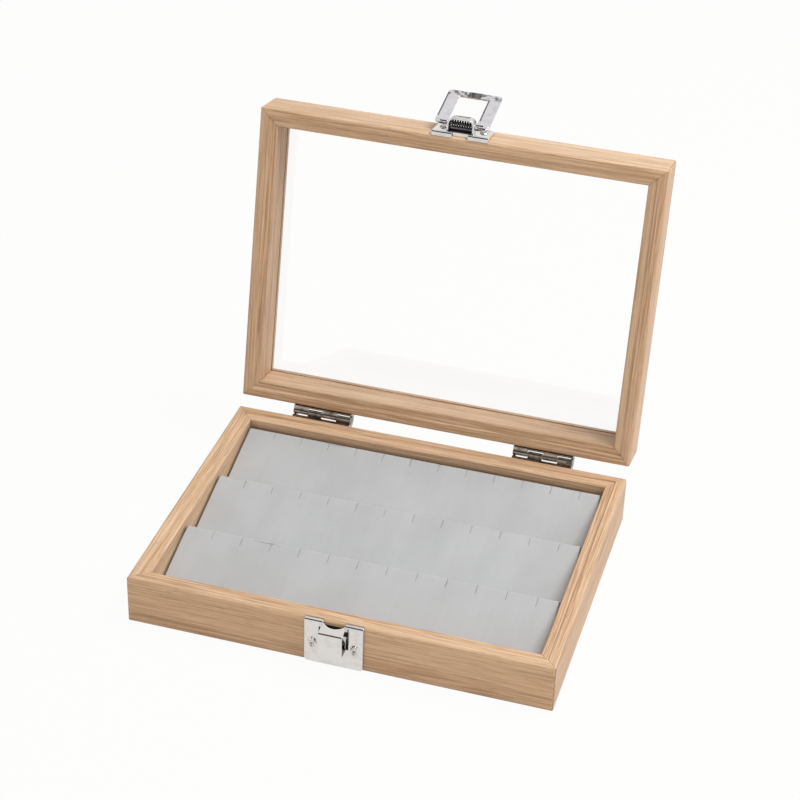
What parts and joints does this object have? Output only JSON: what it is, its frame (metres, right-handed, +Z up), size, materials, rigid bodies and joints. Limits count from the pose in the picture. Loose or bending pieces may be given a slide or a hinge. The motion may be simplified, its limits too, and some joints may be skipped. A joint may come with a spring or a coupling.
{
  "type": "lockable jewelry box",
  "caption": "Shallow hinged wooden box with a clear lid, sloped velvet tiers slit for earrings, and a front hasp whose sprung ring folds over a staple that takes a padlock.",
  "frame": {"origin": "centre of the underside of the base, on the surface that the box stands on", "axes": "+X to the right, +Y to the back, where the hinges are, and +Z up"},
  "size_m": [0.2, 0.2269, 0.1842],
  "materials": {
    "oak": "open-grained light wood with a thin satin lacquer",
    "card": "matt grey board",
    "velvet": "short-pile grey velvet",
    "chrome_plate": "bright plating with soft brushing",
    "steel_screws": "bright plated steel",
    "spring_steel": "dark oiled spring wire",
    "hinge_nickel": "aged nickel plating",
    "clear_pane": "clear and polished"
  },
  "bodies": {
    "base": {"base_front_rail": "oak", "base_back_rail": "oak", "base_left_rail": "oak", "base_right_rail": "oak", "bottom_panel": "oak", "insert_board": "card", "back_tier_card": "card", "middle_tier_card": "card", "front_tier_card": "card", "back_tier_velvet": "velvet", "middle_tier_velvet": "velvet", "front_tier_velvet": "velvet", "catch_plate": "chrome_plate", "catch_screws": "steel_screws", "left_hinge_base_leaf": "hinge_nickel", "right_hinge_base_leaf": "hinge_nickel", "hinge_pins": "hinge_nickel", "base_hinge_screws": "hinge_nickel"},
    "lid": {"lid_front_rail": "oak", "lid_back_rail": "oak", "lid_left_rail": "oak", "lid_right_rail": "oak", "glass_pane": "clear_pane", "left_hinge_lid_leaf": "hinge_nickel", "right_hinge_lid_leaf": "hinge_nickel", "lid_hinge_screws": "hinge_nickel", "hasp_plate": "chrome_plate", "hasp_screws": "steel_screws", "ring_axle": "steel_screws", "ring_spring": "spring_steel"},
    "ring": {"hasp_ring": "chrome_plate"}
  },
  "joints": [
    {"name": "lid_hinge", "type": "hinge", "parent": "base", "child": "lid", "pos_m": [0, 0.0781, 0.0259], "axis": [1, 0, 0], "range_deg": [0, 102]},
    {"name": "ring_pivot", "type": "hinge", "parent": "lid", "child": "ring", "pos_m": [-0.0014, 0.11664, 0.17934], "axis": [1, 0, 0], "range_deg": [-32, 163], "stiffness_Nm_per_rad": 0.01}
  ]
}
